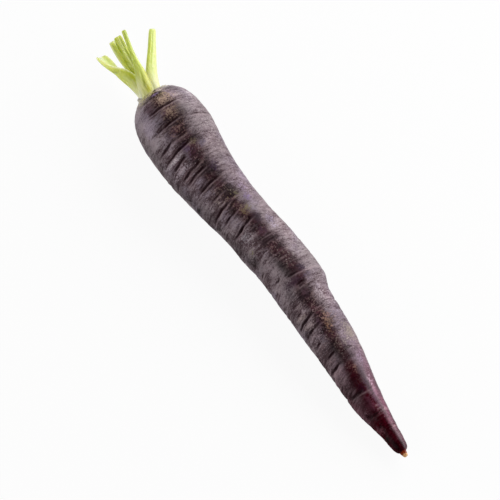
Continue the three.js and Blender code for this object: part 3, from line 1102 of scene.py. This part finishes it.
def stalkBlank(cuts):
    # a cube cut into faces along each of its three directions
    bm = bmesh.new()
    bmesh.ops.create_cube(bm, size=2)
    for axis, count in enumerate(cuts):
        across = [e for e in bm.edges if abs(e.verts[0].co[axis] - e.verts[1].co[axis]) > 1.5]
        bmesh.ops.subdivide_edges(bm, edges=across, cuts=count, use_grid_fill=True)
    bmesh.ops.scale(bm, verts=bm.verts, vec=(mm, mm, mm))
    mesh = bpy.data.meshes.new("stalk")
    bm.to_mesh(mesh)
    bm.free()
    return mesh


def mark(up, x, height, place, halfHeight, half):
    # 1 in the middle of a fold or stroke, falling off all round
    return np.exp(-((up - height) / halfHeight) ** 2 - ((x - place) / half) ** 2)


def growStalk(mesh, look, shape, pale):
    blank = getPoints(mesh)
    top = look["up"][-1]
    share = (blank[:, 2] + 1) / 2
    up = shape["foot"] + share * (top - shape["foot"])
    across, front, halfWidth, halfThick, opens, curl = (
        curve(look["up"], look[key])(up)
        for key in ("across", "front", "halfWidth", "halfThick", "opens", "curl")
    )
    # the cube's square section is made round, y is 1 on the blade's hollow side
    x = blank[:, 0] * np.sqrt(1 - blank[:, 1] ** 2 / 2)
    y = blank[:, 1] * np.sqrt(1 - blank[:, 0] ** 2 / 2)
    fold = np.zeros(len(up))
    for height, place, halfHeight, half, depth in look["folds"]:
        fold = np.maximum(fold, depth * mark(up, x, height, place, halfHeight, half))
    seen = y if 0 <= look["opens"][-1] <= 180 else -y  # folds lie on the side that faces up
    worn = ease(up, top - shape["cutEdge"], top) ** 2
    halfThick = halfThick * (1 - fold * ease(seen, 0, 0.6)) * (1 - shape["cutThinner"] * worn)
    reach = x * curl * (1 - shape["cutNarrower"] * worn)
    opens = np.radians(opens)
    arcRadius = halfWidth / curl
    chord = (arcRadius - y * halfThick) * np.sin(reach)
    rise = arcRadius - (arcRadius - y * halfThick) * np.cos(reach)
    dy = rise * np.cos(opens) - chord * np.sin(opens)
    dz = rise * np.sin(opens) + chord * np.cos(opens)
    cut = look["slant"] * dy * share ** shape["slantPower"]
    points = np.stack([
        crownX - (up + cut),
        float(swayAt(0)) + across + dy,
        float(heightAt(0)) + front + dz,
    ], axis=1)
    points[:, 1:] += bumps(points * shape["unevenFlow"], shape["uneven"])[:, None]
    setPoints(mesh, keepInBox(points))

    paleFoot, green = np.array(colour(*shape["paleFoot"])), np.array(colour(*look["green"]))
    paler = pale * (1 - ease(up, *shape["paleTo"]))
    painted = green + np.multiply.outer(paler, paleFoot - green)
    # strokes, mostly painted shade and painted highlight
    for height, place, halfHeight, half, strength, shade in look["strokes"]:
        cover = strength * mark(up, x, height, place, halfHeight, half)
        painted += cover[:, None] * (np.array(colour(*shade)) - painted)
    storeColour(mesh, "painted", painted)


stalkPaint = {
    # how they stretch, scale, detail and roughness
    "fibres": ((0.06, 1, 1), 2200, 2, 0.5),
    "blotches": ((0.4, 1, 1), 500, 3, 0.6),
    # where in the pattern each colour comes in, how much of it, and the colour
    "tints": [
        ("fibres", (0.5, 0.62), 0.2, (228, 236, 170)),
        ("fibres", (0.5, 0.38), 0.2, (160, 176, 60)),
        ("blotches", (0.58, 0.68), 0.35, (236, 242, 200)),
    ],
    "roughness": 0.38,
    "glow": 0.9,  # how much light passes through
    "glowColour": (1, 0.9, 0.6),
    "glowDepth": 6,
    "bump": 0.2,
    "blotchBump": 0.5,  # the blotches' share
}


def stalkSkin(look):
    material = bpy.data.materials.new("stalk_green")
    paint = Paint(material)
    place = paint.node("TexCoord", {}, {}, 3)
    green = paint.attribute("painted", 0)
    noises = {name: paint.lines(place, *look[name]) for name in ("fibres", "blotches")}
    for name, span, share, shade in look["tints"]:
        green = paint.mix(paint.ease(noises[name], *span) * share, green, colour(*shade))
    height = noises["fibres"] + noises["blotches"] * look["blotchBump"]
    bump = paint.bump(height, 0.5, look["bump"])
    shader = paint.node("BsdfPrincipled", {}, {
        "Base Color": green,
        "Roughness": look["roughness"],
        "Subsurface Weight": look["glow"],
        "Subsurface Radius": look["glowColour"],
        "Subsurface Scale": look["glowDepth"] * mm,
        "Normal": bump,
    })
    paint.node("OutputMaterial", {}, {"Surface": shader})
    return material


scalePaint = {
    "fibres": ((0.4, 1, 1), 2500, 2, 0.5),
    "fibreFrom": (0.5, 0.35),
    "fibreShare": 0.5,
    "fibre": (150, 140, 128),
    "roughness": 0.8,
}


def scaleSkin(look):
    material = bpy.data.materials.new("dried_scale")
    paint = Paint(material)
    place = paint.node("TexCoord", {}, {}, 3)
    fibres = paint.lines(place, *look["fibres"])
    share = paint.ease(fibres, *look["fibreFrom"]) * look["fibreShare"]
    papery = paint.mix(share, paint.attribute("painted", 0), colour(*look["fibre"]))
    settings = {"Base Color": papery, "Roughness": look["roughness"]}
    shader = paint.node("BsdfPrincipled", {}, settings)
    paint.node("OutputMaterial", {}, {"Surface": shader})
    return material


green = stalkSkin(stalkPaint)
for name, look in stalkLooks.items():
    mesh = stalkBlank(stalkShape["cuts"])
    if name == "dried_leaf_scale":
        growStalk(mesh, look, stalkShape, pale=0)
        finishPiece("dried_scale_paper", mesh, scaleSkin(scalePaint), name)
    else:
        growStalk(mesh, look, stalkShape, pale=1)
        finishPiece(name + "_flesh", mesh, green, name)
print("stalks done")
